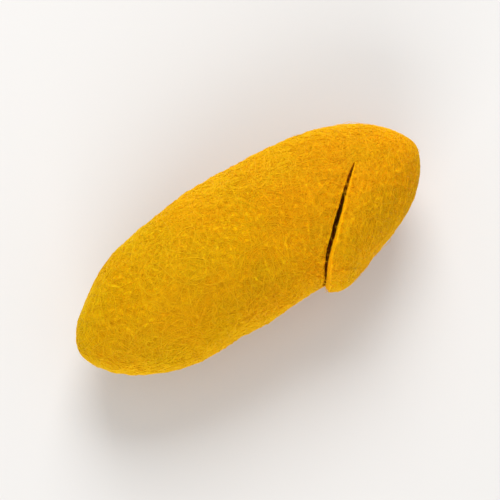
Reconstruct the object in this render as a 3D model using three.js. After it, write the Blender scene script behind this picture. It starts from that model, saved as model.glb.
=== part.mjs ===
// A silk cocoon, cut and emptied: one thin shell of bonded silk in the form of a blunt spindle,
// lying on a small flat spot, with a slanting knife slit near one end that leaves the end cap
// hinged on its far side. Units are millimetres and +Z is up. The long axis lies along X with
// the slit end at +X, and the origin is under the middle of the cocoon, on the flat spot.

import * as THREE from 'three';
import { mergeVertices } from 'three/addons/utils/BufferGeometryUtils.js';

// The spindle, measured over the silk.
const LENGTH = 34;
const WIDTH = 13.2;
const HEIGHT_PER_WIDTH = 0.955;
const FULLNESS = 3;
const BLUNT_TIP_POWER = 0.6;
const SLIM_TIP_POWER = 0.64;
const BOW = { depth: 0.2, x: -2.5, reach: 8 };

// The silk wall, and the flat spot that the cocoon rests on.
const WALL = 0.55;
const TIP_WALL = 0.8;
const FLAT_SPOT_DEPTH = 0.28;

// The slit. Its angles run round the X axis from +Y towards +Z, so it crosses the top and the
// -Y side and leaves the hinge on the +Y side. The knife wandered a little, and from the pinch
// on the lips nearly meet. The cap's lip stands out past the body's, with its rim turned in.
const SLIT_START = 79;
const SLIT_END = 268;
const SLIT_CENTRE_X = 10.95;
const SLIT_SLANT = 7.1;
const SLIT_BENDS_BACK = 0.5;
const SLIT_TILT = -1;
const SLIT_WANDER = { width: 0.12, swells: 7, start: 40 };
const SLIT_GAP = 0.8;
const SLIT_WIDENING = 0.35;
const SLIT_PINCH = { angle: 165, before: 45, past: 160, share: 0.92 };
const SLIT_OPENS_ALONG = new THREE.Vector3(0.67, -0.74, 0);
const GAP_SHARE = { body: -0.35, cap: 0.65 };
const LIP_LIFT = { body: -0.34, cap: 0.95 };
const LIP_REACH = { body: 4.5, cap: 4 };
const RIM_TURNED_IN = { body: 0, cap: 0.6 };
const RIM_REACH = 0.9;

// Broad unevenness of the wall. A wave is a share of the radius: so many swells round the
// section, turning so many degrees with each millimetre along the length.
const WAVES = [
  { share: 0.014, swells: 2, turn: 6, start: 30 },
  { share: 0.011, swells: 3, turn: -11, start: 100 },
  { share: 0.008, swells: 5, turn: 17, start: 20 },
  { share: 0.006, swells: 7, turn: -29, start: 65 },
  { share: 0.005, swells: 4, turn: 47, start: 150 },
  { share: 0.004, swells: 9, turn: 38, start: 10 },
];

// Shallow dents, each at a place along the length and an angle round it.
const DENTS = [
  { x: 0.8, angle: 104, depth: 0.34, long: 4.2, round: 26 },
  { x: -7.6, angle: 66, depth: 0.22, long: 2.6, round: 20 },
  { x: -10.8, angle: 128, depth: 0.18, long: 1.8, round: 24 },
  { x: 6.2, angle: 48, depth: 0.2, long: 3, round: 17 },
  { x: -4.8, angle: 186, depth: 0.34, long: 2.4, round: 30 },
  { x: -14.6, angle: 10, depth: 0.6, long: 1.8, round: 30 },
  { x: 3.2, angle: 8, depth: 0.24, long: 4.6, round: 18 },
  { x: -8.6, angle: 342, depth: 0.24, long: 3.2, round: 24 },
  { x: 7.4, angle: 322, depth: 0.2, long: 2.6, round: 20 },
  { x: -4.2, angle: 222, depth: 0.2, long: 2.8, round: 18 },
];

// How finely the surface is divided. The rows are spaced by a cosine of so many degrees: 90
// crowds them together at the tip alone, and 180 at the slit as well.
const COLUMNS = 72;
const ROWS = { body: 32, cap: 15 };
const INNER_ROWS = { body: 14, cap: 6 };
const ROW_CROWDING = { body: 110, cap: 150 };

const HALF_LENGTH = LENGTH / 2;
const RADIUS = WIDTH / 2;
const AXIS_HEIGHT = RADIUS * HEIGHT_PER_WIDTH - FLAT_SPOT_DEPTH;

const radians = THREE.MathUtils.degToRad;
const bell = (distance, reach) => Math.exp(-((distance / reach) ** 2));

// Share of the full radius at x, on a spindle of the given half length: almost straight sides
// that run out in two blunt points.
function spindle(x, halfLength) {
  const power = x < 0 ? BLUNT_TIP_POWER : SLIM_TIP_POWER;
  return Math.max(0, 1 - (Math.abs(x) / halfLength) ** FULLNESS) ** power;
}

// Difference between two angles in degrees, the short way round.
function angleBetween(a, b) {
  return Math.abs(((a - b + 540) % 360) - 180);
}

function waves(x, degrees) {
  return WAVES.reduce(
    (sum, wave) =>
      sum + wave.share * Math.sin(radians(wave.swells * degrees + wave.turn * x + wave.start)),
    0,
  );
}

function dents(x, degrees) {
  return DENTS.reduce(
    (sum, dent) =>
      sum +
      dent.depth * bell(x - dent.x, dent.long) * bell(angleBetween(degrees, dent.angle), dent.round),
    0,
  );
}

// Where the slit's line crosses the meridian at an angle. Past its start it bends back, so that
// the rows of the mesh do not crowd into the tip.
function slitX(degrees) {
  const across = Math.cos(radians(degrees));
  const slanted = SLIT_SLANT * (across - SLIT_BENDS_BACK * Math.max(0, across) ** 2);
  const tilted = SLIT_TILT * Math.sin(radians(degrees));
  const { width, swells, start } = SLIT_WANDER;
  return SLIT_CENTRE_X + slanted + tilted + width * Math.sin(radians(swells * degrees + start));
}

// How far the slit stands open at an angle: 0 at both ends and along the hinge, 1 at its middle.
function slitOpening(degrees) {
  const along = (degrees - SLIT_START) / (SLIT_END - SLIT_START);
  return along <= 0 || along >= 1 ? 0 : Math.sin(Math.PI * along);
}

// The gap between the lips. It widens quickly from the slit's start, narrows to the pinch and
// widens only a little past it.
function slitWidth(degrees) {
  const reach = degrees < SLIT_PINCH.angle ? SLIT_PINCH.before : SLIT_PINCH.past;
  const pinch = SLIT_PINCH.share * bell(degrees - SLIT_PINCH.angle, reach);
  return SLIT_GAP * slitOpening(degrees) ** SLIT_WIDENING * (1 - pinch);
}

// A point of the silk. The face is the outer or the inner one, and the part is the body or the
// cap, whose lips stand apart at the slit.
function silkPoint(x, degrees, face, part) {
  const outer = face === 'outer';
  const halfLength = outer ? HALF_LENGTH : HALF_LENGTH - TIP_WALL;
  const fullRadius = outer ? RADIUS : RADIUS - WALL;
  const share = spindle(x, halfLength);
  const nearLip = bell(x - slitX(degrees), LIP_REACH[part]);
  const turnedIn = RIM_TURNED_IN[part] * bell(x - slitX(degrees), RIM_REACH);
  const lift = LIP_LIFT[part] * nearLip * (1 - turnedIn) * slitOpening(degrees);
  const radius = share * (fullRadius * (1 + waves(x, degrees)) - dents(x, degrees) + lift);
  const gap = share * GAP_SHARE[part] * slitWidth(degrees) * nearLip;
  const height = AXIS_HEIGHT + radius * HEIGHT_PER_WIDTH * Math.sin(radians(degrees));
  return new THREE.Vector3(
    x,
    BOW.depth * bell(x - BOW.x, BOW.reach) + radius * Math.cos(radians(degrees)),
    Math.max(outer ? 0 : WALL, height),
  ).addScaledVector(SLIT_OPENS_ALONG, gap);
}

// Rows of points from a tip to the slit's line.
function rowsToSlit(part, face, count) {
  const halfLength = face === 'outer' ? HALF_LENGTH : HALF_LENGTH - TIP_WALL;
  const tip = part === 'body' ? -halfLength : halfLength;
  const crowding = radians(ROW_CROWDING[part]);
  return Array.from({ length: count + 1 }, (_, row) => {
    const along = (1 - Math.cos(crowding * (row / count))) / (1 - Math.cos(crowding));
    return Array.from({ length: COLUMNS }, (_, column) => {
      const degrees = (360 * column) / COLUMNS;
      const x = tip + (slitX(degrees) - tip) * along;
      return silkPoint(x, degrees, face, part);
    });
  });
}

// Adds the faces between each row and the next. A face that has shrunk to a line at a tip is
// left out.
function addFaces(positions, rows, isWanted = () => true) {
  for (let row = 0; row + 1 < rows.length; row++) {
    for (let column = 0; column < COLUMNS; column++) {
      if (!isWanted(column)) continue;
      const next = (column + 1) % COLUMNS;
      const [a, b] = [rows[row][column], rows[row][next]];
      const [c, d] = [rows[row + 1][next], rows[row + 1][column]];
      if (!a.equals(b)) positions.push(...a, ...b, ...c);
      if (!c.equals(d)) positions.push(...a, ...c, ...d);
    }
  }
}

// The slit has an edge of bare wall between two neighbouring columns if it is open at either.
function isOpenBetween(column) {
  const opening = (index) => slitOpening((360 * (index % COLUMNS)) / COLUMNS);
  return opening(column) > 0 || opening(column + 1) > 0;
}

function cocoonGeometry() {
  const positions = [];
  const bodyOuter = rowsToSlit('body', 'outer', ROWS.body);
  const bodyInner = rowsToSlit('body', 'inner', INNER_ROWS.body).reverse();
  const capOuter = rowsToSlit('cap', 'outer', ROWS.cap).reverse();
  const capInner = rowsToSlit('cap', 'inner', INNER_ROWS.cap);
  for (const rows of [bodyOuter, bodyInner, capInner, capOuter]) addFaces(positions, rows);
  addFaces(positions, [bodyOuter.at(-1), bodyInner[0]], isOpenBetween);
  addFaces(positions, [capInner.at(-1), capOuter[0]], isOpenBetween);
  const geometry = new THREE.BufferGeometry();
  geometry.setAttribute('position', new THREE.Float32BufferAttribute(positions, 3));
  const welded = mergeVertices(geometry);
  welded.computeBoundingBox();
  const middle = welded.boundingBox.getCenter(new THREE.Vector3());
  welded.translate(-middle.x, -middle.y, 0);
  welded.computeVertexNormals();
  return welded;
}

// Raw silk, dull and golden yellow.
const rawSilk = new THREE.MeshStandardMaterial({
  color: '#dea012',
  roughness: 0.75,
  metalness: 0,
});

const cocoon = new THREE.Mesh(cocoonGeometry(), rawSilk);
cocoon.name = 'cocoon';

const model = new THREE.Group();
model.add(cocoon);

export default model;
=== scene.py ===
import math

import bmesh
import bpy
import numpy as np
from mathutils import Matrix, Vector


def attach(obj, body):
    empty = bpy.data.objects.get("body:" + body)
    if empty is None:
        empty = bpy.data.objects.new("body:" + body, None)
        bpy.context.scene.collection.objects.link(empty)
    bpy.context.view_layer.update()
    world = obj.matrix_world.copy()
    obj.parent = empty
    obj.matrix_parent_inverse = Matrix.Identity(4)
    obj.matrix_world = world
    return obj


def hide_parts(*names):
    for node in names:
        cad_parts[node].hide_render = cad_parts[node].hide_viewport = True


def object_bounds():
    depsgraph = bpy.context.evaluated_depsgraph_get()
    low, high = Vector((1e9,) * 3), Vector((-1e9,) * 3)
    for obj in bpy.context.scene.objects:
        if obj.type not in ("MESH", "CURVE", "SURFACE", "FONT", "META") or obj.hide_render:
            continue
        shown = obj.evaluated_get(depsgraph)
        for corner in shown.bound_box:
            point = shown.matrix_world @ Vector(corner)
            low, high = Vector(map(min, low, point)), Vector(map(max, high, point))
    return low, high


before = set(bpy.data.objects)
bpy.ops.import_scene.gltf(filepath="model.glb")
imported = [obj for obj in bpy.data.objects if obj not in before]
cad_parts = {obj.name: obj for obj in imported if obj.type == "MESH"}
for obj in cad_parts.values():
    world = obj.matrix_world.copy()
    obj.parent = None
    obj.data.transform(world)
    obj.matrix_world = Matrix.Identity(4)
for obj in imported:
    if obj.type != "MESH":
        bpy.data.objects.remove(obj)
cad_low, cad_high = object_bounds()


# ---- The shell -------------------------------------------------------------------------------
# A silkworm spins it from one thread, laid in figure eights and glued layer on layer by its own
# gum, so the wall is a dense felt that shrinks into fine crinkles as it dries. It was emptied
# through a slanting knife cut near one end, which leaves the end cap hinged on the far side.

# Lengths are in millimetres and angles in degrees, round the long axis from +Y towards +Z.
MM = 0.001
LENGTH = 34.0
WIDTH = 13.2
HEIGHT_PER_WIDTH = 0.955
FULLNESS = 3.0
BLUNT_TIP_POWER = 0.6
SLIM_TIP_POWER = 0.64
BOW_DEPTH = 0.2
BOW_X = -2.5
BOW_REACH = 8.0
WALL = 0.55
TIP_WALL = 0.8
FLAT_SPOT_DEPTH = 0.28

SLIT_START = 79.0
SLIT_END = 268.0
SLIT_CENTRE_X = 10.95
SLIT_SLANT = 7.1
SLIT_BENDS_BACK = 0.5
SLIT_TILT = -1.0
WANDER_WIDTH = 0.12
WANDER_SWELLS = 7
WANDER_START = 40.0
SLIT_GAP = 0.8
SLIT_WIDENING = 0.35
PINCH_ANGLE = 165.0
PINCH_BEFORE = 45.0
PINCH_PAST = 160.0
PINCH_SHARE = 0.92
SLIT_OPENS_ALONG = np.array([0.67, -0.74, 0.0])
GAP_SHARE = {"body": -0.35, "cap": 0.65}
LIP_LIFT = {"body": -0.34, "cap": 0.95}
LIP_REACH = {"body": 4.5, "cap": 4.0}
RIM_TURNED_IN = {"body": 0.0, "cap": 0.6}
RIM_REACH = 0.9

# Swells of the wall: share of the radius, swells round the section, turn in degrees per
# millimetre of length, and start.
WAVES = (
    (0.014, 2, 6, 30),
    (0.011, 3, -11, 100),
    (0.008, 5, 17, 20),
    (0.006, 7, -29, 65),
    (0.005, 4, 47, 150),
    (0.004, 9, 38, 10),
)
# Shallow dents: place along the length, angle, depth, reach along, reach round in degrees.
DENTS = (
    (0.8, 104, 0.34, 4.2, 26),
    (-7.6, 66, 0.22, 2.6, 20),
    (-10.8, 128, 0.18, 1.8, 24),
    (6.2, 48, 0.2, 3.0, 17),
    (-4.8, 186, 0.34, 2.4, 30),
    (-14.6, 10, 0.6, 1.8, 30),
    (3.2, 8, 0.24, 4.6, 18),
    (-8.6, 342, 0.24, 3.2, 24),
    (7.4, 322, 0.2, 2.6, 20),
    (-4.2, 222, 0.2, 2.8, 18),
)

HALF_LENGTH = LENGTH / 2
RADIUS = WIDTH / 2
AXIS_HEIGHT = RADIUS * HEIGHT_PER_WIDTH - FLAT_SPOT_DEPTH
TIP = {"body": -HALF_LENGTH, "cap": HALF_LENGTH}

# How finely the shell is divided: columns round it, and rows from each tip to the slit.
COLUMNS = 300
OUTER_ROWS = {"body": 200, "cap": 68}
INNER_ROWS = {"body": 20, "cap": 8}
LIP_ROWS = 7
COLUMN_ANGLES = np.arange(COLUMNS) * 360 / COLUMNS

# The crinkles grow from nothing at a tip to full height where the section has a third of its
# full radius.
RELIEF_GROWTH = 3


def bell(distance, reach):
    """e to the minus (distance over reach) squared."""
    return np.exp(-((distance / reach) ** 2))


def spindle(x, half_length):
    """Share of the full radius at x: (1 - |x / half length| ^ fullness) ^ tip power."""
    power = np.where(x < 0, BLUNT_TIP_POWER, SLIM_TIP_POWER)
    return np.maximum(0.0, 1 - (np.abs(x) / half_length) ** FULLNESS) ** power


def angle_between(a, b):
    """Difference between two angles, the short way round."""
    return np.abs((a - b + 180) % 360 - 180)


def swell(x, angle):
    """Sum of the waves, each share * sin(swells * angle + turn * x + start)."""
    return sum(
        share * np.sin(np.radians(swells * angle + turn * x + start))
        for share, swells, turn, start in WAVES
    )


def dent(x, angle):
    """Sum of the dents in millimetres, each a bell along the length times a bell round it."""
    return sum(
        depth * bell(x - place, along) * bell(angle_between(angle, at), around)
        for place, at, depth, along, around in DENTS
    )


def slit_x(angle):
    """Where the slit crosses a meridian: centre + slant * cos + tilt * sin, the slant eased
    back past the slit's start, and the knife's small wander of width * sin(swells * angle)."""
    across = np.cos(np.radians(angle))
    slanted = SLIT_SLANT * (across - SLIT_BENDS_BACK * np.maximum(0.0, across) ** 2)
    wander = WANDER_WIDTH * np.sin(np.radians(WANDER_SWELLS * angle + WANDER_START))
    return SLIT_CENTRE_X + slanted + SLIT_TILT * np.sin(np.radians(angle)) + wander


def slit_opening(angle):
    """Half a sine between the slit's two ends, and 0 along the hinge."""
    along = np.clip((angle - SLIT_START) / (SLIT_END - SLIT_START), 0.0, 1.0)
    return np.maximum(0.0, np.sin(np.pi * along)) * ((along > 0) & (along < 1))


def slit_width(angle):
    """Gap between the lips: the full gap times a small power of the opening, less a bell at the
    pinch that reaches further past it than before it."""
    reach = np.where(angle < PINCH_ANGLE, PINCH_BEFORE, PINCH_PAST)
    pinch = PINCH_SHARE * bell(angle - PINCH_ANGLE, reach)
    return SLIT_GAP * slit_opening(angle) ** SLIT_WIDENING * (1 - pinch)


def silk_points(x, angle, depth, part, relief=0.0):
    """Points of the wall, from its outer face at depth 0 to its inner face at depth 1. The
    radius is the spindle's, with swells, dents, the lifted lip and relief. The lips stand apart
    by the gap, and z stops at the flat spot."""
    turn = np.radians(angle)
    share = spindle(x, HALF_LENGTH - depth * TIP_WALL)
    from_slit = x - slit_x(angle)
    near_lip = bell(from_slit, LIP_REACH[part])
    turned_in = RIM_TURNED_IN[part] * bell(from_slit, RIM_REACH)
    lift = LIP_LIFT[part] * near_lip * (1 - turned_in) * slit_opening(angle)
    full = (RADIUS - depth * WALL) * (1 + swell(x, angle)) - dent(x, angle)
    radius = share * (full + lift) + np.minimum(1.0, RELIEF_GROWTH * share) * relief
    y = BOW_DEPTH * bell(x - BOW_X, BOW_REACH) + radius * np.cos(turn)
    z = AXIS_HEIGHT + radius * HEIGHT_PER_WIDTH * np.sin(turn)
    points = np.stack([x, y, np.maximum(depth * WALL, z)], axis=-1)
    gap = share * GAP_SHARE[part] * slit_width(angle) * near_lip
    return points + gap[..., None] * SLIT_OPENS_ALONG


# The plane waves of a cloud, and the shortest and longest of them as shares of its wavelength.
CLOUD_WAVES = 70
CLOUD_SPREAD = (0.75, 1.35)


def cloud(points, wavelength, seed):
    """Smooth random relief with a spread of 1: plane waves of about one wavelength, each in a
    random direction with a random start, added up."""
    random = np.random.default_rng(seed)
    direction = random.normal(size=(3, CLOUD_WAVES))
    direction /= np.linalg.norm(direction, axis=0)
    steps = 2 * np.pi / (wavelength * random.uniform(*CLOUD_SPREAD, CLOUD_WAVES))
    start = random.uniform(0, 2 * np.pi, CLOUD_WAVES)
    total = np.zeros(points.shape[:-1])
    for wave in range(CLOUD_WAVES):
        total += np.cos(points @ (direction[:, wave] * steps[wave]) + start[wave])
    return total * math.sqrt(2 / CLOUD_WAVES)


# The crinkles that the wall dries into: low rounded ridges that wander and fork about a
# millimetre apart, with finer ones and knobs between them. They run a little more round the
# girth than along it.
CRINKLE_STRETCH = np.array([1.2, 0.9, 0.9])
RIDGE_SPACING = 2.0
RIDGE_SHARPNESS = 0.5
RIDGE_HEIGHT = 0.1
FINE_RIDGE_SPACING = 1.0
FINE_RIDGE_HEIGHT = 0.05
KNOB_SPACING = 0.62
KNOB_HEIGHT = 0.012
PATCH_SIZE = 6.0
PATCH_DIFFERENCE = 0.25
RIDGE_MEAN = 0.4


def crinkle(points):
    """Height in millimetres: bell(cloud) along the cloud's own zero line makes a ridge, less its
    mean, and a finer cloud makes knobs. A broad cloud makes some patches smoother than others."""
    stretched = points * CRINKLE_STRETCH
    ridge = bell(cloud(stretched, RIDGE_SPACING, seed=11), RIDGE_SHARPNESS) - RIDGE_MEAN
    finer = bell(cloud(stretched, FINE_RIDGE_SPACING, seed=12), RIDGE_SHARPNESS) - RIDGE_MEAN
    knobs = cloud(stretched, KNOB_SPACING, seed=13)
    patches = 1 - PATCH_DIFFERENCE * (1 - np.tanh(cloud(points, PATCH_SIZE, seed=15)))
    ridges = RIDGE_HEIGHT * ridge + FINE_RIDGE_HEIGHT * finer
    return patches * ridges + KNOB_HEIGHT * knobs


WAY_SAMPLES = 2000


def row_shares(part, count):
    """Shares of the way from a tip to the slit that lie evenly apart along the skin: the skin's
    length is summed up over samples of the way, and even lengths are looked up in it."""
    way = 1 - np.cos(np.linspace(0, np.pi / 2, WAY_SAMPLES))
    x = TIP[part] + (SLIT_CENTRE_X - TIP[part]) * way
    steps = np.hypot(np.diff(x), RADIUS * np.diff(spindle(x, HALF_LENGTH)))
    skin = np.concatenate([[0.0], np.cumsum(steps)])
    return np.interp(np.linspace(0, skin[-1], count + 1), skin, way)


def silk_rows(part, depth, count):
    """Grid of x and angle from a tip, at row 0, to the slit."""
    tip = TIP[part] * (1 - depth * TIP_WALL / HALF_LENGTH)
    x = tip + (slit_x(COLUMN_ANGLES)[None, :] - tip) * row_shares(part, count)[:, None]
    return x, np.broadcast_to(COLUMN_ANGLES, x.shape)


def outer_face(part):
    """Outer face of the body or the cap, crinkled, and the crinkles' height. The height is read
    on the body's form for both, so that a ridge carries on across the slit."""
    x, angle = silk_rows(part, 0.0, OUTER_ROWS[part])
    relief = crinkle(silk_points(x, angle, 0.0, "body"))
    return silk_points(x, angle, 0.0, part, relief), relief


# The glued layers of the cut edge, as shares of the gap that they stand out into.
LAYERS_SWELL = 0.12
LAYERS_WANDER = 0.08


def lip_rows(part, rim_relief):
    """The bare edge of the wall at the slit, from the outer to the inner face. Its glued layers
    stand out into the gap by a share of it, which is a sine of the depth with a random amount
    that wanders along the edge."""
    random = np.random.default_rng(21 if part == "body" else 22)
    outwards = SLIT_OPENS_ALONG * (1 if part == "body" else -1)
    edge_x = slit_x(COLUMN_ANGLES)
    gap = slit_width(COLUMN_ANGLES)
    rows = []
    for row in range(1, LIP_ROWS):
        depth = row / LIP_ROWS
        points = silk_points(edge_x, COLUMN_ANGLES, depth, part, rim_relief * (1 - depth))
        loose = random.normal(size=COLUMNS)
        wandering = 0.5 * loose + 0.25 * (np.roll(loose, 1) + np.roll(loose, -1))
        stands_out = LAYERS_SWELL * math.sin(math.pi * depth) + LAYERS_WANDER * wandering
        rows.append(points + (stands_out * gap)[:, None] * outwards)
    return np.array(rows)


def row_faces(rows, wanted=None):
    """Faces between neighbouring rows of a closed ring of columns, as corner numbers."""
    first = np.arange(len(rows) - 1)[:, None] * COLUMNS + np.arange(COLUMNS)
    following = np.arange(len(rows) - 1)[:, None] * COLUMNS + (np.arange(COLUMNS) + 1) % COLUMNS
    quads = np.stack([first, following, following + COLUMNS, first + COLUMNS], axis=-1)
    if wanted is not None:
        quads = quads[:, wanted]
    return quads.reshape(-1, 4)


# Points of the shell that lie nearer each other than this are merged. An edge shorter than a
# small share of it is dropped with its faces.
SHELL_WELD = 0.002
NO_EDGE = 0.02


def make_mesh(name, points, faces, values=None, materials=None, weld=0.0):
    """A piece from points in millimetres and faces as corner numbers, with named values on its
    points and the number of a material on each face. Points that no face uses are left out,
    points nearer each other than weld are merged, and faces without area are dropped."""
    used, corners = np.unique(faces, return_inverse=True)
    mesh = bpy.data.meshes.new(name)
    mesh.vertices.add(len(used))
    mesh.vertices.foreach_set("co", (points[used] * MM).astype(np.float32).ravel())
    sides = faces.shape[1]
    mesh.loops.add(faces.size)
    mesh.loops.foreach_set("vertex_index", corners.astype(np.int32).ravel())
    mesh.polygons.add(len(faces))
    mesh.polygons.foreach_set("loop_start", np.arange(0, faces.size, sides, dtype=np.int32))
    if materials is not None:
        mesh.polygons.foreach_set("material_index", materials.astype(np.int32))
    for key, numbers in (values or {}).items():
        attribute = mesh.attributes.new(key, "FLOAT", "POINT")
        attribute.data.foreach_set("value", numbers.ravel()[used].astype(np.float32))
    mesh.update(calc_edges=True)
    if weld:
        soft = bmesh.new()
        soft.from_mesh(mesh)
        bmesh.ops.remove_doubles(soft, verts=soft.verts, dist=weld * MM)
        bmesh.ops.dissolve_degenerate(soft, edges=soft.edges, dist=NO_EDGE * weld * MM)
        soft.to_mesh(mesh)
        soft.free()
    mesh.polygons.foreach_set("use_smooth", np.ones(len(mesh.polygons), dtype=bool))
    mesh.validate()
    piece = bpy.data.objects.new(name, mesh)
    bpy.context.scene.collection.objects.link(piece)
    return piece


# The frame's origin lies under the middle of the CAD box, so the shell is moved there.
outer_points, outer_relief = {}, {}
for part in TIP:
    outer_points[part], outer_relief[part] = outer_face(part)
inner_points = {
    part: silk_points(*silk_rows(part, 1.0, INNER_ROWS[part]), 1.0, part) for part in TIP
}
spread_y = np.concatenate([points[..., 1].ravel() for points in outer_points.values()])
cad_middle_y = (cad_low[1] + cad_high[1]) / 2 / MM
to_frame = np.array([0.0, cad_middle_y - (spread_y.min() + spread_y.max()) / 2, 0.0])

column_is_open = slit_opening(COLUMN_ANGLES) > 0
lip_is_bare = column_is_open | np.roll(column_is_open, -1)
OUTER_MATERIAL, INNER_MATERIAL = 0, 1
shell_points, shell_faces, shell_relief, shell_materials = [], [], [], []
for part in TIP:
    outer, inner = outer_points[part], inner_points[part][::-1]
    edge = np.concatenate([outer[-1:], lip_rows(part, outer_relief[part][-1]), inner[:1]])
    for rows, relief, material, wanted in (
        (outer, outer_relief[part], OUTER_MATERIAL, None),
        (edge, np.zeros(edge.shape[:2]), OUTER_MATERIAL, lip_is_bare),
        (inner, np.zeros(inner.shape[:2]), INNER_MATERIAL, None),
    ):
        faces = row_faces(rows, wanted) + sum(len(points) for points in shell_points)
        shell_faces.append(faces if part == "body" else faces[:, ::-1])
        shell_points.append(rows.reshape(-1, 3))
        shell_relief.append(relief.ravel())
        shell_materials.append(np.full(len(faces), material))

silk_shell = make_mesh(
    "silk_shell",
    np.concatenate(shell_points) + to_frame,
    np.concatenate(shell_faces),
    values={"relief": np.concatenate(shell_relief)},
    materials=np.concatenate(shell_materials),
    weld=SHELL_WELD,
)


def linear(hex_colour):
    """An sRGB hex colour as linear red, green, blue and 1."""
    parts = [int(hex_colour[i : i + 2], 16) / 255 for i in (1, 3, 5)]
    return [c / 12.92 if c <= 0.04045 else ((c + 0.055) / 1.055) ** 2.4 for c in parts] + [1.0]


def add(tree, kind, settings, inputs):
    """Adds a node. A setting is one of its properties. An input is a value or the output of
    another node, by the input's name or number."""
    made = tree.nodes.new(kind)
    for key, value in settings.items():
        setattr(made, key, value)
    for key, value in inputs.items():
        if isinstance(value, bpy.types.NodeSocket):
            tree.links.new(value, made.inputs[key])
        else:
            made.inputs[key].default_value = value
    return made


# The yellow that the mulberry leaf gives is uneven over the cocoon: greener at the blunt end and
# more orange towards the cap, in soft patches some 4 mm across.
SILK_OLIVE = "#dcb802"
SILK_ORANGE = "#f9a504"
COLOUR_PATCH = 4.5
COOLEST_NOISE = 0.36
WARMEST_NOISE = 0.64
SHARE_BY_PLACE = 0.6
PLACE_REACH = 0.8 * HALF_LENGTH


def leaf_yellow(tree, place):
    """Olive to orange by warmth, which is partly a patchy noise and partly the share of the way
    from the blunt end to the cap."""
    noise = add(
        tree,
        "ShaderNodeTexNoise",
        {},
        {"Vector": place, "Scale": 1 / (COLOUR_PATCH * MM), "Detail": 3.0},
    )
    patches = add(
        tree,
        "ShaderNodeMapRange",
        {},
        {"Value": noise.outputs["Fac"], "From Min": COOLEST_NOISE, "From Max": WARMEST_NOISE},
    )
    x = add(tree, "ShaderNodeSeparateXYZ", {}, {"Vector": place}).outputs["X"]
    towards_cap = add(
        tree,
        "ShaderNodeMapRange",
        {},
        {"Value": x, "From Min": -PLACE_REACH * MM, "From Max": PLACE_REACH * MM},
    )
    warmth = add(
        tree,
        "ShaderNodeMix",
        {"data_type": "FLOAT"},
        {0: SHARE_BY_PLACE, 2: patches.outputs["Result"], 3: towards_cap.outputs["Result"]},
    )
    return add(
        tree,
        "ShaderNodeMix",
        {"data_type": "RGBA"},
        {0: warmth.outputs[0], 6: linear(SILK_OLIVE), 7: linear(SILK_ORANGE)},
    ).outputs[2]


# Raw silk still in its gum: an almost matte felt of translucent filament. Light sinks in and comes
# back warmer. On top of that, the base colour carries painted light: deep orange in the crinkles'
# hollows is painted shade, and pale gold on their ridges is a painted highlight.
SILK_PALE = "#fcc218"
SILK_DEEP_SHADE = "#d88c00"
# Crinkle heights where the painted highlight on the ridges and the painted shade in the hollows
# reach full strength.
RIDGE_HIGHLIGHT_TOP = 0.035
HOLLOW_SHADE_BOTTOM = -0.035
# Real filament is 0.02 to 0.03 mm wide. Here it is drawn 0.09 mm wide so that it shows.
FIBRE_LONG = 1.5
FIBRE_WIDE = 0.09
FIBRE_BUMP = 0.03
FIBRE_TURNS = ((0, 15, 20), (0, -20, -35), (0, 10, 70), (0, -15, -80), (0, 65, 10))
# The fibres' noise at a fibre's edge, along its middle and in the gaps between fibres. The fibres
# are mixed paler than the felt, and the gaps between them darker, which is painted shade.
FIBRE_EDGE = 0.63
FIBRE_MIDDLE = 0.74
SHADED_GAPS_BETWEEN_FIBRES = 0.54
# What all raw silk shares: its IOR, and the warm tints of its gloss and its sheen.
SILK_IOR = 1.54
SILK_GLINT = "#ffc850"
SILK_SHEEN = "#ffb420"


def new_material(name, finish):
    """A material whose shader has the inputs that the finish gives by name."""
    made = bpy.data.materials.new(name)
    made.use_nodes = True
    for key, value in finish.items():
        made.node_tree.nodes["Principled BSDF"].inputs[key].default_value = value
    return made


bonded_silk = new_material(
    "raw_silk_bonded_in_gum",
    {
        "Roughness": 0.75,
        "IOR": SILK_IOR,
        "Specular IOR Level": 0.12,
        "Specular Tint": linear(SILK_GLINT),
        "Subsurface Weight": 0.35,
        "Subsurface Radius": (1.0, 0.42, 0.06),
        "Subsurface Scale": 0.6 * MM,
        "Sheen Weight": 0.22,
        "Sheen Roughness": 0.5,
        "Sheen Tint": linear(SILK_SHEEN),
    },
)
tree = bonded_silk.node_tree
shader = tree.nodes["Principled BSDF"]
place = add(tree, "ShaderNodeTexCoord", {}, {}).outputs["Object"]
relief = add(tree, "ShaderNodeAttribute", {"attribute_name": "relief"}, {}).outputs["Fac"]

fibres = None
for turn in FIBRE_TURNS:
    laid = add(
        tree,
        "ShaderNodeMapping",
        {"vector_type": "TEXTURE"},
        {
            "Vector": place,
            "Rotation": [math.radians(degrees) for degrees in turn],
            "Scale": (FIBRE_LONG * MM, FIBRE_WIDE * MM, FIBRE_WIDE * MM),
        },
    )
    one_way = add(
        tree,
        "ShaderNodeTexNoise",
        {},
        {"Vector": laid.outputs["Vector"], "Scale": 1.0, "Detail": 1.0, "Distortion": 0.4},
    ).outputs["Fac"]
    if fibres is None:
        fibres = one_way
    else:
        fibres = add(
            tree, "ShaderNodeMath", {"operation": "MAXIMUM"}, {0: fibres, 1: one_way}
        ).outputs[0]

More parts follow.
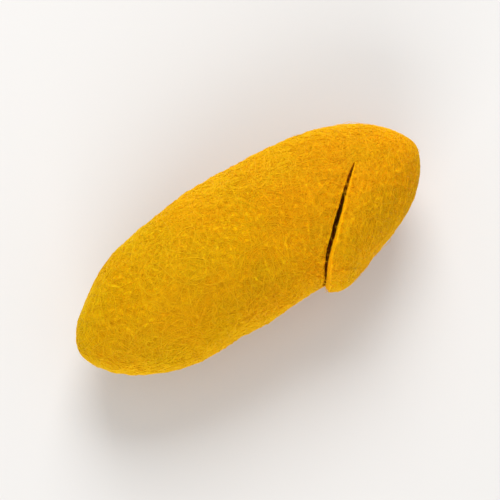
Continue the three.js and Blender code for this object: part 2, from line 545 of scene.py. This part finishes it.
# Each of these mixes a colour in: a height, the limits between which the colour's share grows from
# 0, and its greatest share. The first two paint a highlight on the crinkles' ridges and shade in
# their hollows. The last two make the fibres paler and paint shade in the gaps between them.
height_painted_light_and_colour = (
    (relief, 0.0, RIDGE_HIGHLIGHT_TOP, 0.2, SILK_PALE),
    (relief, 0.0, HOLLOW_SHADE_BOTTOM, 0.4, SILK_DEEP_SHADE),
    (fibres, FIBRE_EDGE, FIBRE_MIDDLE, 0.6, SILK_PALE),
    (fibres, FIBRE_EDGE, SHADED_GAPS_BETWEEN_FIBRES, 0.7, SILK_DEEP_SHADE),
)
silk_colour = leaf_yellow(tree, place)
for height, none, most, greatest, colour in height_painted_light_and_colour:
    share = add(
        tree,
        "ShaderNodeMapRange",
        {},
        {"Value": height, "From Min": none, "From Max": most, "To Max": greatest},
    )
    silk_colour = add(
        tree,
        "ShaderNodeMix",
        {"data_type": "RGBA"},
        {0: share.outputs["Result"], 6: silk_colour, 7: linear(colour)},
    ).outputs[2]
tree.links.new(silk_colour, shader.inputs["Base Color"])
fibre_bump = add(
    tree, "ShaderNodeBump", {}, {"Height": fibres, "Strength": 0.6, "Distance": FIBRE_BUMP * MM}
)
tree.links.new(fibre_bump.outputs["Normal"], shader.inputs["Normal"])

# The innermost layer is fine and smooth. Daylight reaches it through the wall, which takes out
# all but the orange, so the hollow glows a dark orange.
inner_silk = new_material(
    "smooth_silk_of_the_inner_wall",
    {
        "Base Color": linear("#f6bc40"),
        "Roughness": 0.6,
        "IOR": SILK_IOR,
        "Specular IOR Level": 0.2,
        "Subsurface Weight": 1.0,
        "Subsurface Radius": (1.0, 0.75, 0.06),
        "Subsurface Scale": 1.8 * MM,
    },
)

silk_shell.data.materials.append(bonded_silk)
silk_shell.data.materials.append(inner_silk)
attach(silk_shell, "root")
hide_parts("cocoon")


# ---- The outer floss -------------------------------------------------------------------------
# The last of the thread lies on the outside in figure eights that cross each other and are only
# lightly glued. It follows the crinkled shell and stops where the knife cut it.

LAYERS = 4
THREADS_PER_LAYER = 148
THREAD_STEPS = 220
# About twice the real filament, which is too fine to show. A thread's end closes to one point,
# so corners nearer each other than the weld are merged.
THREAD_WIDTH = 0.06
THREAD_WELD = 0.0001

# One figure eight, and how much larger or smaller a thread's own are.
EIGHT_LONG = 4.4
EIGHT_SHORT = 1.5
LONG_SPREAD = (0.6, 1.3)
SHORT_SPREAD = (0.6, 1.6)
STEPS_PER_EIGHT = 38
TRAVEL_PER_EIGHT = 0.9
# The axis tilts by up to this share of the turn. The size swings by a share of itself, at a
# share of the turn's pace. A swing starts anywhere between two angles in radians.
TILT_DRIFT = 0.06
SIZE_SWING = 0.25
SIZE_SWING_PACE = 0.37
ANY_START = (0, 6)

# Height over the silk, how much of it each layer adds, and how it rises and falls by the step.
THREAD_LIFT = 0.014
LIFT_PER_LAYER = 0.5
LIFT_SPREAD = (0.6, 1.6)
RISE_SWING = 0.6
RISE_PACE = 0.21
# Threads differ in width and in shade, from deep at 0 to pale at 1. Each layer is a little paler
# than the one below it, so the threads lying under others carry painted shade.
WIDTH_SPREAD = (0.6, 1.3)
SHADE_SPREAD = 0.7
PAINTED_DEPTH_SHADE_PER_LAYER = 0.1
# No thread comes nearer the floor than this.
FLOOR_CLEARANCE = 0.06
# Stands for a length of 0 where something is divided by it.
NO_LENGTH = 1e-9


def unit(vectors):
    """Each vector over its own length."""
    size = np.linalg.norm(vectors, axis=-1, keepdims=True)
    return vectors / np.maximum(size, NO_LENGTH)


# Normals of the outer face: the direction round the shell crossed with the direction along it.
surface_normals = {}
for part, rows in outer_points.items():
    ahead = np.gradient(rows, axis=0)
    around = np.roll(rows, -1, axis=1) - np.roll(rows, 1, axis=1)
    surface_normals[part] = unit(np.cross(around, ahead) * (1 if part == "body" else -1))


def on_silk(x, angle):
    """Point and normal of the crinkled outer face at x and angle, read between the four nearest
    points of the shell, and whether it is on the cap."""
    on_cap = x > slit_x(angle)
    point = np.zeros(x.shape + (3,))
    normal = np.zeros(x.shape + (3,))
    column = (angle % 360) / 360 * COLUMNS
    left = np.floor(column).astype(int) % COLUMNS
    right = (left + 1) % COLUMNS
    across = (column - np.floor(column))[..., None]
    for part, chosen in (("body", ~on_cap), ("cap", on_cap)):
        count = OUTER_ROWS[part]
        way = np.clip((x - TIP[part]) / (slit_x(angle) - TIP[part]), 0.0, 1.0)
        row = np.interp(way, row_shares(part, count), np.arange(count + 1))
        upper = np.clip(np.floor(row).astype(int), 0, count - 1)
        down = (row - upper)[..., None]
        for grid, read in ((outer_points[part], point), (surface_normals[part], normal)):
            above = grid[upper, left] * (1 - across) + grid[upper, right] * across
            below = grid[upper + 1, left] * (1 - across) + grid[upper + 1, right] * across
            read[chosen] = (above * (1 - down) + below * down)[chosen]
    return point, unit(normal), on_cap


# The shell taken as a ball stretched along its axis: rings at x, and each one's latitude.
SKIN_RINGS = 801
skin_x = HALF_LENGTH * np.sin(np.linspace(-np.pi / 2, np.pi / 2, SKIN_RINGS))
skin_latitude = np.arctan2(skin_x / HALF_LENGTH, spindle(skin_x, HALF_LENGTH))


def even_latitudes(random, count):
    """Latitudes that spread evenly over the skin: a random share of the skin's area, which is
    the sum of each ring's girth times its width, looked up."""
    radius = RADIUS * spindle(skin_x, HALF_LENGTH)
    rings = (radius[1:] + radius[:-1]) * np.hypot(np.diff(skin_x), np.diff(radius))
    area = np.concatenate([[0.0], np.cumsum(rings)])
    return np.interp(random.uniform(0, area[-1], (count, 1)), area, skin_latitude)


def along_the_skin(latitude, start_angle, out, aside, tilt):
    """x and angle of a flat path, turned by the tilt and laid on the stretched ball. From its
    start each point of the path lies straight over the ball, at the arc that its distance spans
    there, so that paths run over the tips unchanged."""
    turn = np.radians(start_angle)
    along = out * np.cos(tilt) - aside * np.sin(tilt)
    around = out * np.sin(tilt) + aside * np.cos(tilt)
    along = along / np.hypot(HALF_LENGTH * np.cos(latitude), RADIUS * np.sin(latitude))
    around = around / RADIUS
    arc = np.maximum(np.hypot(along, around), NO_LENGTH)
    along = np.sin(arc) * along / arc
    around = np.sin(arc) * around / arc
    lengthways = np.cos(arc) * np.sin(latitude) + along * np.cos(latitude)
    sideways = np.cos(arc) * np.cos(latitude) - along * np.sin(latitude)
    reached = np.arctan2(lengthways, np.hypot(sideways, around))
    angle = np.degrees(turn + np.arctan2(around, sideways))
    return np.interp(reached, skin_latitude, skin_x), angle


def figure_eights(random, threads, steps):
    """Paths over the shell as x and angle: a point runs round a figure eight,
    (long * sin t, short * sin 2t), whose axis turns slowly while it drifts along."""

    def each(low, high):
        """A random number between two limits for each thread."""
        return random.uniform(low, high, (threads, 1))

    turn = 2 * np.pi * (np.arange(steps)[None, :] - steps / 2) / STEPS_PER_EIGHT
    travel = TRAVEL_PER_EIGHT * turn / (2 * np.pi)
    turn = turn + each(0, 2 * np.pi)
    tilt = each(0, np.pi) + turn * each(-TILT_DRIFT, TILT_DRIFT)
    size = 1 + SIZE_SWING * np.sin(SIZE_SWING_PACE * turn + each(*ANY_START))
    out = EIGHT_LONG / 2 * each(*LONG_SPREAD) * size * np.sin(turn)
    aside = EIGHT_SHORT / 2 * each(*SHORT_SPREAD) * size * np.sin(2 * turn)
    return along_the_skin(even_latitudes(random, threads), each(0, 360), out, aside + travel, tilt)


def unbroken(angle, points, on_cap):
    """Whether each step of a path neither crosses the open slit nor comes down to the floor."""
    is_open = slit_opening(angle % 360) > 0
    crosses = (on_cap[:, 1:] != on_cap[:, :-1]) & (is_open[:, 1:] | is_open[:, :-1])
    on_floor = points[..., 2] < FLOOR_CLEARANCE
    return ~(crosses | on_floor[:, 1:] | on_floor[:, :-1])


def closed_widths(kept, width):
    """The width at each path point, 0 wherever a tube ends."""
    ends = np.ones((kept.shape[0], kept.shape[1] + 1), dtype=bool)
    ends[:, 1:-1] = ~kept[:, 1:] | ~kept[:, :-1]
    return np.where(ends, 0.0, width)


def thread_tubes(points, normals, widths, kept):
    """Three-sided tubes along paths: each path point gets three corners at half a width, one
    away from the silk and two beside it. A width of 0 closes a tube."""
    ahead = unit(np.gradient(points, axis=1))
    beside = unit(np.cross(normals, ahead))
    away = np.cross(ahead, beside)
    corners = []
    for turn in (np.pi / 2, np.pi * 7 / 6, np.pi * 11 / 6):
        offset = beside * math.cos(turn) + away * math.sin(turn)
        corners.append(points + offset * widths[..., None] / 2)
    threads, steps = points.shape[:2]
    number = np.arange(threads * steps * 3).reshape(threads, steps, 3)
    faces = []
    for side in range(3):
        following = (side + 1) % 3
        near, far = number[:, :-1, side], number[:, 1:, side]
        near_next, far_next = number[:, :-1, following], number[:, 1:, following]
        faces.append(np.stack([near, near_next, far_next, far], axis=-1)[kept])
    return np.stack(corners, axis=2).reshape(-1, 3), np.concatenate(faces)


# Loose silk thread: a smooth round filament, so it is a little glossier and paler than the felt
# below. A thread's colour is half its own shade and half the leaf's yellow at that place.
THREAD_DEEP = "#e89a00"
THREAD_PALE = "#ffc61c"
LEAF_SHARE = 0.5

loose_silk = new_material(
    "loose_silk_thread",
    {
        "Roughness": 0.55,
        "IOR": SILK_IOR,
        "Specular IOR Level": 0.2,
        "Specular Tint": linear(SILK_GLINT),
        "Subsurface Weight": 0.2,
        "Subsurface Radius": (1.0, 0.5, 0.1),
        "Subsurface Scale": 0.2 * MM,
        "Sheen Weight": 0.15,
        "Sheen Tint": linear(SILK_SHEEN),
    },
)
tree = loose_silk.node_tree
shader = tree.nodes["Principled BSDF"]
place = add(tree, "ShaderNodeTexCoord", {}, {}).outputs["Object"]
shade = add(tree, "ShaderNodeAttribute", {"attribute_name": "shade"}, {}).outputs["Fac"]
own_shade = add(
    tree,
    "ShaderNodeMix",
    {"data_type": "RGBA"},
    {0: shade, 6: linear(THREAD_DEEP), 7: linear(THREAD_PALE)},
)
thread_colour = add(
    tree,
    "ShaderNodeMix",
    {"data_type": "RGBA"},
    {0: LEAF_SHARE, 6: own_shade.outputs[2], 7: leaf_yellow(tree, place)},
)
tree.links.new(thread_colour.outputs[2], shader.inputs["Base Color"])


def thread_piece(name, points, normals, kept, width, shade):
    """A piece of loose silk: tubes along the paths, with one shade to each path."""
    corners, faces = thread_tubes(points, normals, closed_widths(kept, width), kept)
    shades = np.repeat(shade, points.shape[1] * 3)
    piece = make_mesh(name, corners + to_frame, faces, values={"shade": shades}, weld=THREAD_WELD)
    piece.data.materials.append(loose_silk)
    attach(piece, "root")


for layer in range(LAYERS):
    random = np.random.default_rng(100 + layer)
    x, angle = figure_eights(random, THREADS_PER_LAYER, THREAD_STEPS)
    points, normals, on_cap = on_silk(x, angle)
    layer_lift = THREAD_LIFT * (1 + LIFT_PER_LAYER * layer)
    lift = layer_lift * random.uniform(*LIFT_SPREAD, (THREADS_PER_LAYER, 1))
    start = random.uniform(*ANY_START, (THREADS_PER_LAYER, 1))
    rise = 1 + RISE_SWING * np.sin(RISE_PACE * np.arange(THREAD_STEPS)[None, :] + start)
    points = points + normals * (lift * rise)[..., None]
    # Lower layers take deeper shades: painted shade under the layers above.
    deepest = PAINTED_DEPTH_SHADE_PER_LAYER * layer
    thread_piece(
        f"floss_layer_{layer + 1}",
        points,
        normals,
        unbroken(angle, points, on_cap),
        THREAD_WIDTH * random.uniform(*WIDTH_SPREAD, (THREADS_PER_LAYER, 1)),
        random.uniform(deepest, SHADE_SPREAD + deepest, THREADS_PER_LAYER),
    )


# ---- The stray hairs -------------------------------------------------------------------------
# Where the floss was pulled off, single filaments are left. Most are glued at both ends and
# arch off the silk, and the rest have one end free.

HAIRS = 300
HAIR_STEPS = 16
HAIR_WIDTH = 0.036
HAIR_LENGTH = (1.2, 4.5)
HAIR_HEIGHT = (0.05, 0.26)
HAIR_BEND = 0.35
HAIR_SHADE = (0.4, 1)
FREE_HAIR_SHARE = 0.35
FREE_HAIR_CURVE = 1.7
SINGLE_WIDTH_SPREAD = (0.7, 1.2)

random = np.random.default_rng(200)
run = np.linspace(0, 1, HAIR_STEPS)[None, :]
length = random.uniform(*HAIR_LENGTH, (HAIRS, 1))
heading = random.uniform(0, 2 * np.pi, (HAIRS, 1))
bend = random.uniform(-HAIR_BEND, HAIR_BEND, (HAIRS, 1)) * length
x, angle = along_the_skin(
    even_latitudes(random, HAIRS),
    random.uniform(0, 360, (HAIRS, 1)),
    length * run,
    bend * np.sin(np.pi * run),
    heading,
)
points, normals, on_cap = on_silk(x, angle)
is_free = random.uniform(0, 1, (HAIRS, 1)) < FREE_HAIR_SHARE
rise = np.where(is_free, run**FREE_HAIR_CURVE, np.sin(np.pi * run))
height = random.uniform(*HAIR_HEIGHT, (HAIRS, 1)) * np.sqrt(length / HAIR_LENGTH[1])
points = points + normals * (height * rise)[..., None]
thread_piece(
    "stray_hairs",
    points,
    normals,
    unbroken(angle, points, on_cap),
    HAIR_WIDTH * random.uniform(*SINGLE_WIDTH_SPREAD, (HAIRS, 1)),
    random.uniform(*HAIR_SHADE, HAIRS),
)


# ---- The frayed slit -------------------------------------------------------------------------
# The knife leaves cut ends of filament all along both lips. A few whole ones still cross from
# lip to lip where the silk was pulled and not cut.

CUT_ENDS_PER_LIP = 170
CUT_END_STEPS = 7
CUT_END_WIDTH = 0.032
CUT_END_ANGLES = (SLIT_START + 6, SLIT_END - 30)
CUT_END_DEPTHS = (0.0, 0.8)
CUT_END_SHADE = (0.3, 1)
SHORTEST_CUT_END = 0.08
LONGEST_CUT_END = 0.6
# The higher this power is, the fewer of the cut ends are long.
FEW_LONG_ONES = 3
# A cut end heads partly across the gap and partly outwards, with scatter and a curl added. Part
# of its length stays rooted in the wall.
HEADS_ACROSS = (-0.2, 0.7)
HEADS_OUTWARDS = (-0.3, 0.7)
HEADING_SCATTER = 0.5
CURL = 0.5
ROOTED_SHARE = 0.2


def away_from_axis(angle):
    """Unit direction straight out from the long axis: 0, cos, sin of the angle."""
    turn = np.radians(angle)
    return np.stack([np.zeros_like(turn), np.cos(turn), np.sin(turn)], axis=-1)


random = np.random.default_rng(300)
run = np.linspace(0, 1, CUT_END_STEPS)[None, :, None]
for part, side in (("body", 1), ("cap", -1)):
    angle = random.uniform(*CUT_END_ANGLES, CUT_ENDS_PER_LIP)
    depth = random.uniform(*CUT_END_DEPTHS, CUT_ENDS_PER_LIP)
    roots = silk_points(slit_x(angle), angle, depth, part)
    outwards = away_from_axis(angle)
    across_the_gap = side * SLIT_OPENS_ALONG * random.uniform(*HEADS_ACROSS, (len(angle), 1))
    direction = across_the_gap + outwards * random.uniform(*HEADS_OUTWARDS, (len(angle), 1))
    direction = unit(direction + random.normal(0, HEADING_SCATTER, direction.shape))
    curl = random.normal(0, CURL, direction.shape)
    long_ones = random.uniform(0, 1, (len(angle), 1, 1)) ** FEW_LONG_ONES
    length = SHORTEST_CUT_END + (LONGEST_CUT_END - SHORTEST_CUT_END) * long_ones
    path = direction[:, None] * (run - ROOTED_SHARE) + curl[:, None] * run**2
    points = roots[:, None] + length * path
    thread_piece(
        f"cut_ends_of_the_{part}",
        points,
        np.broadcast_to(outwards[:, None], points.shape),
        np.ones((len(angle), CUT_END_STEPS - 1), dtype=bool),
        CUT_END_WIDTH * random.uniform(*SINGLE_WIDTH_SPREAD, (len(angle), 1)),
        random.uniform(*CUT_END_SHADE, len(angle)),
    )

# The whole threads across the slit. Each is glued down a little way from either lip, and arches
# between.
CROSSING_THREADS = 3
CROSSING_STEPS = 12
FIRST_CROSSING = SLIT_START + 22
LAST_CROSSING = SLIT_END - 60
CROSSING_SCATTER = 8
CROSSING_SLANT = 7
CROSSING_HOLD = 0.3
CROSSING_LIFT = 0.03
CROSSING_SLACK = (0.02, 0.12)

run = np.linspace(0, 1, CROSSING_STEPS)[None, :, None]
angle = np.linspace(FIRST_CROSSING, LAST_CROSSING, CROSSING_THREADS)
angle = angle + random.uniform(-CROSSING_SCATTER, CROSSING_SCATTER, CROSSING_THREADS)
angle_across = angle + random.uniform(-CROSSING_SLANT, CROSSING_SLANT, CROSSING_THREADS)
near = silk_points(slit_x(angle) - CROSSING_HOLD, angle, 0.0, "body")
far = silk_points(slit_x(angle_across) + CROSSING_HOLD, angle_across, 0.0, "cap")
outwards = away_from_axis(angle)
slack = random.uniform(*CROSSING_SLACK, (CROSSING_THREADS, 1, 1)) * np.sin(np.pi * run)
lifted = outwards[:, None] * (slack + CROSSING_LIFT)
thread_piece(
    "threads_across_the_slit",
    near[:, None] * (1 - run) + far[:, None] * run + lifted,
    np.broadcast_to(outwards[:, None], (CROSSING_THREADS, CROSSING_STEPS, 3)),
    np.ones((CROSSING_THREADS, CROSSING_STEPS - 1), dtype=bool),
    CUT_END_WIDTH,
    random.uniform(*HAIR_SHADE, CROSSING_THREADS),
)


# ---- The floor, the light and the camera -----------------------------------------------------
# A plain pale floor of matt card under two broad soft lamps: a key behind the cocoon, and a
# lower fill on the camera's side. The camera looks down, with the slit end at the upper right.

FLOOR_SIZE = 3.0
corners = np.array([[-1, -1, 0], [1, -1, 0], [1, 1, 0], [-1, 1, 0]]) * FLOOR_SIZE / 2 / MM
floor = make_mesh("floor", corners, np.array([[0, 1, 2, 3]]))
matt_card = new_material(
    "matt_white_card",
    {"Base Color": linear("#dcdbda"), "Roughness": 0.9, "Specular IOR Level": 0.2},
)
floor.data.materials.append(matt_card)

# The room's own soft light, from all sides.
ROOM_COLOUR = "#fffdfa"
ROOM_STRENGTH = 0.55
scene = bpy.context.scene
scene.view_settings.view_transform = "Standard"
world = bpy.data.worlds.new("soft_room")
world.use_nodes = True
room = world.node_tree.nodes["Background"]
room.inputs["Color"].default_value = linear(ROOM_COLOUR)
room.inputs["Strength"].default_value = ROOM_STRENGTH
scene.world = world

# The camera: its turn and height round the cocoon in degrees, its lens, its sensor's width, and
# the width that it takes in at the cocoon.
VIEW_TURN = -32.0
VIEW_HEIGHT = 82.0
LENS = 180.0
SENSOR_WIDTH = 36.0
FRAME_WIDTH = 43.0


def towards(azimuth, elevation):
    """Unit direction from the cocoon to a camera or lamp at that azimuth and elevation:
    (sin azimuth * cos elevation, -cos azimuth * cos elevation, sin elevation)."""
    a, e = math.radians(azimuth), math.radians(elevation)
    return Vector((math.sin(a) * math.cos(e), -math.cos(a) * math.cos(e), math.sin(e)))


def aim(name, data, place, back):
    """Adds a lamp or camera at a place, facing away from the direction back."""
    made = bpy.data.objects.new(name, data)
    made.location = place
    made.rotation_mode = "QUATERNION"
    made.rotation_quaternion = back.to_track_quat("Z", "Y")
    scene.collection.objects.link(made)
    return made


# Each lamp's turn is counted from the camera's. Distances and sizes are in metres, and powers
# in watts.
SOFTBOXES = {
    "key_softbox": {"turn": 182, "height": 42, "distance": 0.5, "size": 0.3, "power": 2.1},
    "fill_softbox": {"turn": -12, "height": 25, "distance": 0.6, "size": 0.5, "power": 2.5},
}
for name, box in SOFTBOXES.items():
    light = bpy.data.lights.new(name, "AREA")
    light.size = box["size"]
    light.energy = box["power"]
    back = towards(VIEW_TURN + box["turn"], box["height"])
    aim(name, light, back * box["distance"], back)

camera_data = bpy.data.cameras.new("camera")
camera_data.lens = LENS
camera_data.sensor_width = SENSOR_WIDTH
camera_data.clip_start = 10 * MM
back = towards(VIEW_TURN, VIEW_HEIGHT)
middle = (Vector(cad_low) + Vector(cad_high)) / 2
distance = FRAME_WIDTH * MM * LENS / SENSOR_WIDTH
scene.camera = aim("camera", camera_data, middle + back * distance, back)
